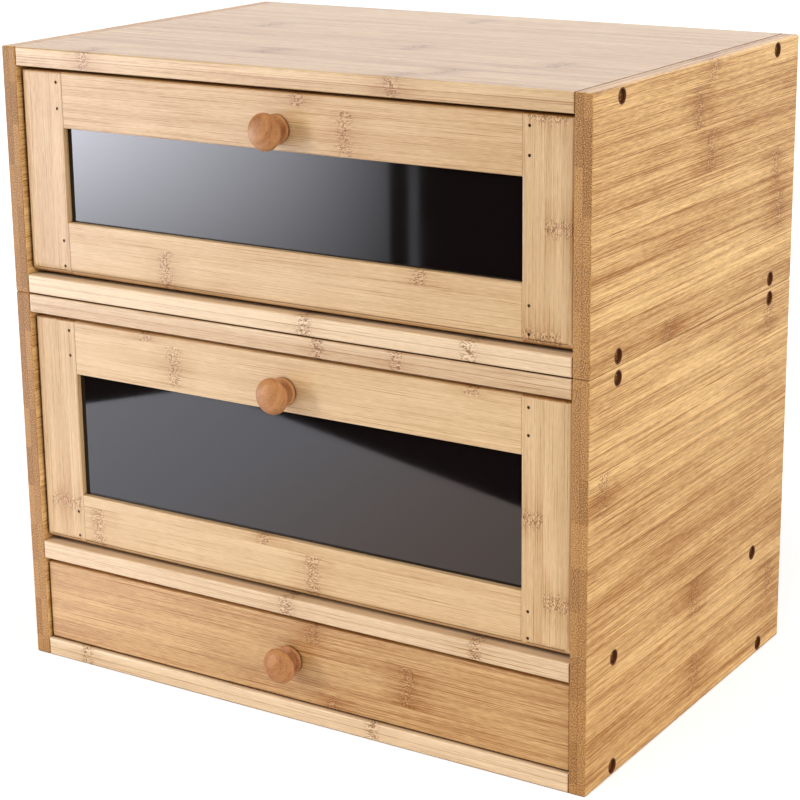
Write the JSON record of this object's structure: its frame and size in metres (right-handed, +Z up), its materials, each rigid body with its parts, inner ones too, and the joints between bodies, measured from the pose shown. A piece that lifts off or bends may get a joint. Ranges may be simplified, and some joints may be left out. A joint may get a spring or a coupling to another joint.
{
  "type": "bread box with drawer",
  "caption": "Stacked wooden bread box: two cabinets with drop-down framed window doors on hinge pins, round knobs, and a sliding drawer at the bottom.",
  "frame": {"origin": "on the ground, at the middle of the lower cabinet's underside", "axes": "+X to the right as seen from the front, +Y to the back, +Z up; the doors and the drawer face -Y"},
  "size_m": [0.38, 0.2701, 0.3724],
  "materials": {
    "side_bamboo": "satin lacquered bamboo, grain from front to back",
    "board_bamboo": "satin lacquered bamboo, grain along the width",
    "door_bamboo": "satin lacquered bamboo, grain along each frame member",
    "drawer_front_bamboo": "satin lacquered bamboo, grain along the width",
    "drawer_bamboo": "plain sanded bamboo",
    "thin_bamboo_panel": "thin bamboo plywood",
    "knob_wood": "turned reddish hardwood, clear lacquer",
    "dowel_wood": "plain turned hardwood",
    "smoked_acrylic": "clear sheet with a dark smoke tint, polished",
    "zinc_screw": "yellow zinc plated steel",
    "steel_brad": "dull wire",
    "hinge_steel": "plain turned pin",
    "strike_steel": "zinc plated plate",
    "magnet": "matt black ferrite block"
  },
  "bodies": {
    "lower_cabinet": {"lower_left_side": "side_bamboo", "lower_right_side": "side_bamboo", "lower_bottom_board": "board_bamboo", "drawer_shelf": "board_bamboo", "lower_top_board": "board_bamboo", "lower_back_panel": "thin_bamboo_panel", "lower_side_screws": "zinc_screw", "stacking_dowels": "dowel_wood", "lower_door_stop": "board_bamboo", "lower_catch_magnet": "magnet", "lower_stop_screws": "zinc_screw"},
    "upper_cabinet": {"upper_left_side": "side_bamboo", "upper_right_side": "side_bamboo", "upper_bottom_board": "board_bamboo", "upper_top_board": "board_bamboo", "upper_back_panel": "thin_bamboo_panel", "upper_side_screws": "zinc_screw", "upper_door_stop": "board_bamboo", "upper_catch_magnet": "magnet", "upper_stop_screws": "zinc_screw"},
    "upper_door": {"upper_left_stile": "door_bamboo", "upper_right_stile": "door_bamboo", "upper_top_rail": "door_bamboo", "upper_bottom_rail": "door_bamboo", "upper_pane": "smoked_acrylic", "upper_door_brads": "steel_brad", "upper_hinge_pins": "hinge_steel", "upper_door_knob": "knob_wood", "upper_knob_screw": "zinc_screw", "upper_strike_plate": "strike_steel", "upper_strike_screws": "zinc_screw"},
    "lower_door": {"lower_left_stile": "door_bamboo", "lower_right_stile": "door_bamboo", "lower_top_rail": "door_bamboo", "lower_bottom_rail": "door_bamboo", "lower_pane": "smoked_acrylic", "lower_door_brads": "steel_brad", "lower_hinge_pins": "hinge_steel", "lower_door_knob": "knob_wood", "lower_knob_screw": "zinc_screw", "lower_strike_plate": "strike_steel", "lower_strike_screws": "zinc_screw"},
    "drawer": {"drawer_front": "drawer_front_bamboo", "drawer_left_wall": "drawer_bamboo", "drawer_right_wall": "drawer_bamboo", "drawer_back": "drawer_bamboo", "drawer_bottom": "thin_bamboo_panel", "drawer_dowels": "dowel_wood", "drawer_brads": "steel_brad", "drawer_knob": "knob_wood", "drawer_knob_screw": "zinc_screw"}
  },
  "joints": [
    {"name": "upper_cabinet_lift", "type": "slide", "parent": "lower_cabinet", "child": "upper_cabinet", "axis": [0, 0, 1], "range_m": [0, 0.06]},
    {"name": "upper_door_hinge", "type": "hinge", "parent": "upper_cabinet", "child": "upper_door", "pos_m": [0, -0.1177, 0.24675], "axis": [1, 0, 0], "range_deg": [0, 92]},
    {"name": "lower_door_hinge", "type": "hinge", "parent": "lower_cabinet", "child": "lower_door", "pos_m": [0, -0.1177, 0.0814], "axis": [1, 0, 0], "range_deg": [0, 92]},
    {"name": "drawer_slide", "type": "slide", "parent": "lower_cabinet", "child": "drawer", "axis": [0, -1, 0], "range_m": [0, 0.18]}
  ]
}
